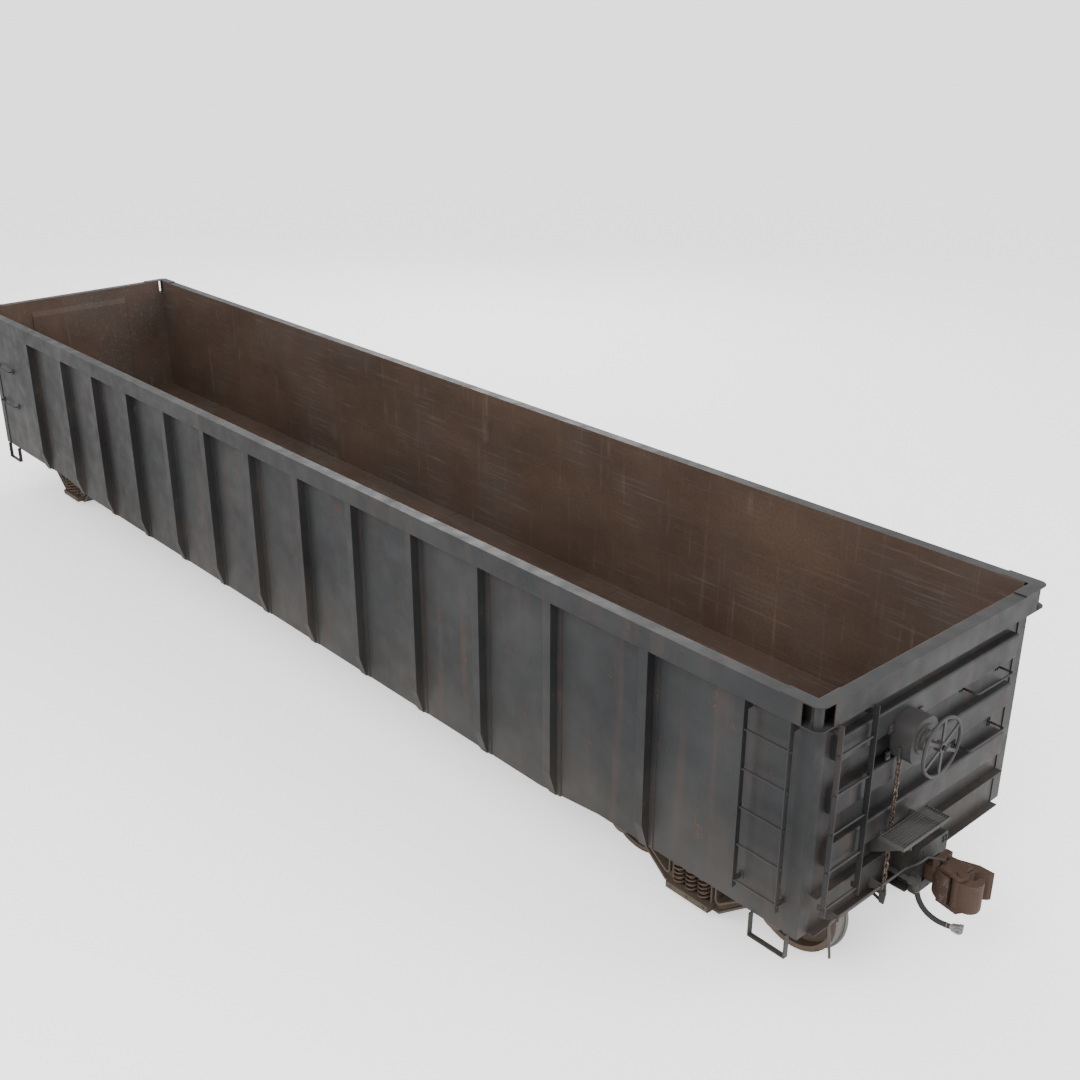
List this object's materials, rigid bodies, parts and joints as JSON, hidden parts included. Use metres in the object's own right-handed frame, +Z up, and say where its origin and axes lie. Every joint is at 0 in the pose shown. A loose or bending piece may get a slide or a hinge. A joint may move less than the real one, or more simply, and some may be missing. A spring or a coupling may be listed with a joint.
{
  "type": "gondola car",
  "caption": "Open-top railway freight wagon with ribbed steel sides, a flat floor, knuckle couplers and swivelling two-axle trucks.",
  "frame": {"origin": "under the middle of the car, level with the tips of the wheel flanges", "axes": "+X along the car towards the hand-brake end, +Y across it to the left, +Z up"},
  "size_m": [17.5254, 3.192, 2.9798],
  "materials": {
    "body_paint": "satin",
    "floor_steel": "matte",
    "brake_gear": "satin",
    "galvanised": "matte",
    "chain_steel": "matte",
    "coupler_cast": "matte",
    "truck_cast": "matte",
    "spring_steel": "matte",
    "wheel_steel": "satin",
    "hose_rubber": "matte",
    "hand_casting": "satin"
  },
  "bodies": {
    "car_body": {"floor": "floor_steel", "side_sheets": "body_paint", "side_sills": "body_paint", "side_posts": "body_paint", "top_chords": "body_paint", "end_chords": "body_paint", "corner_caps": "body_paint", "end_walls": "body_paint", "end_liners": "floor_steel", "corner_posts": "body_paint", "centre_sill": "body_paint", "stringers": "body_paint", "cross_bearers": "body_paint", "body_bolsters": "body_paint", "end_sills": "body_paint", "couplers": "coupler_cast", "knuckles": "coupler_cast", "ladders": "body_paint", "grab_irons": "body_paint", "stirrup_steps": "body_paint", "hand_brake": "brake_gear", "hand_wheel": "brake_gear", "brake_chain": "chain_steel", "brake_step": "galvanised", "brake_pipe": "brake_gear", "reservoir": "brake_gear", "control_valve": "brake_gear", "brake_cylinder": "brake_gear", "brake_rods": "brake_gear", "uncoupling_levers": "brake_gear", "air_hose_b": "hose_rubber", "glad_hand_b": "hand_casting", "air_hose_a": "hose_rubber", "glad_hand_a": "hand_casting"},
    "truck_b": {"side_frames_b": "truck_cast", "truck_bolster_b": "truck_cast", "springs_b": "spring_steel", "brake_beams_b": "brake_gear"},
    "wheelset_b1": {"axle_b1": "wheel_steel", "wheels_b1": "wheel_steel"},
    "wheelset_b2": {"axle_b2": "wheel_steel", "wheels_b2": "wheel_steel"},
    "truck_a": {"side_frames_a": "truck_cast", "truck_bolster_a": "truck_cast", "springs_a": "spring_steel", "brake_beams_a": "brake_gear"},
    "wheelset_a1": {"axle_a1": "wheel_steel", "wheels_a1": "wheel_steel"},
    "wheelset_a2": {"axle_a2": "wheel_steel", "wheels_a2": "wheel_steel"}
  },
  "joints": [
    {"name": "truck_b_swivel", "type": "hinge", "parent": "car_body", "child": "truck_b", "pos_m": [6.57, 0, 0.66], "axis": [0, 0, 1], "range_deg": [-8, 8]},
    {"name": "wheelset_b1_spin", "type": "hinge", "parent": "truck_b", "child": "wheelset_b1", "pos_m": [5.655, 0, 0.482], "axis": [0, 1, 0], "continuous": true},
    {"name": "wheelset_b2_spin", "type": "hinge", "parent": "truck_b", "child": "wheelset_b2", "pos_m": [7.485, 0, 0.482], "axis": [0, 1, 0], "continuous": true},
    {"name": "truck_a_swivel", "type": "hinge", "parent": "car_body", "child": "truck_a", "pos_m": [-6.57, 0, 0.66], "axis": [0, 0, 1], "range_deg": [-8, 8]},
    {"name": "wheelset_a1_spin", "type": "hinge", "parent": "truck_a", "child": "wheelset_a1", "pos_m": [-5.655, 0, 0.482], "axis": [0, 1, 0], "continuous": true},
    {"name": "wheelset_a2_spin", "type": "hinge", "parent": "truck_a", "child": "wheelset_a2", "pos_m": [-7.485, 0, 0.482], "axis": [0, 1, 0], "continuous": true}
  ]
}
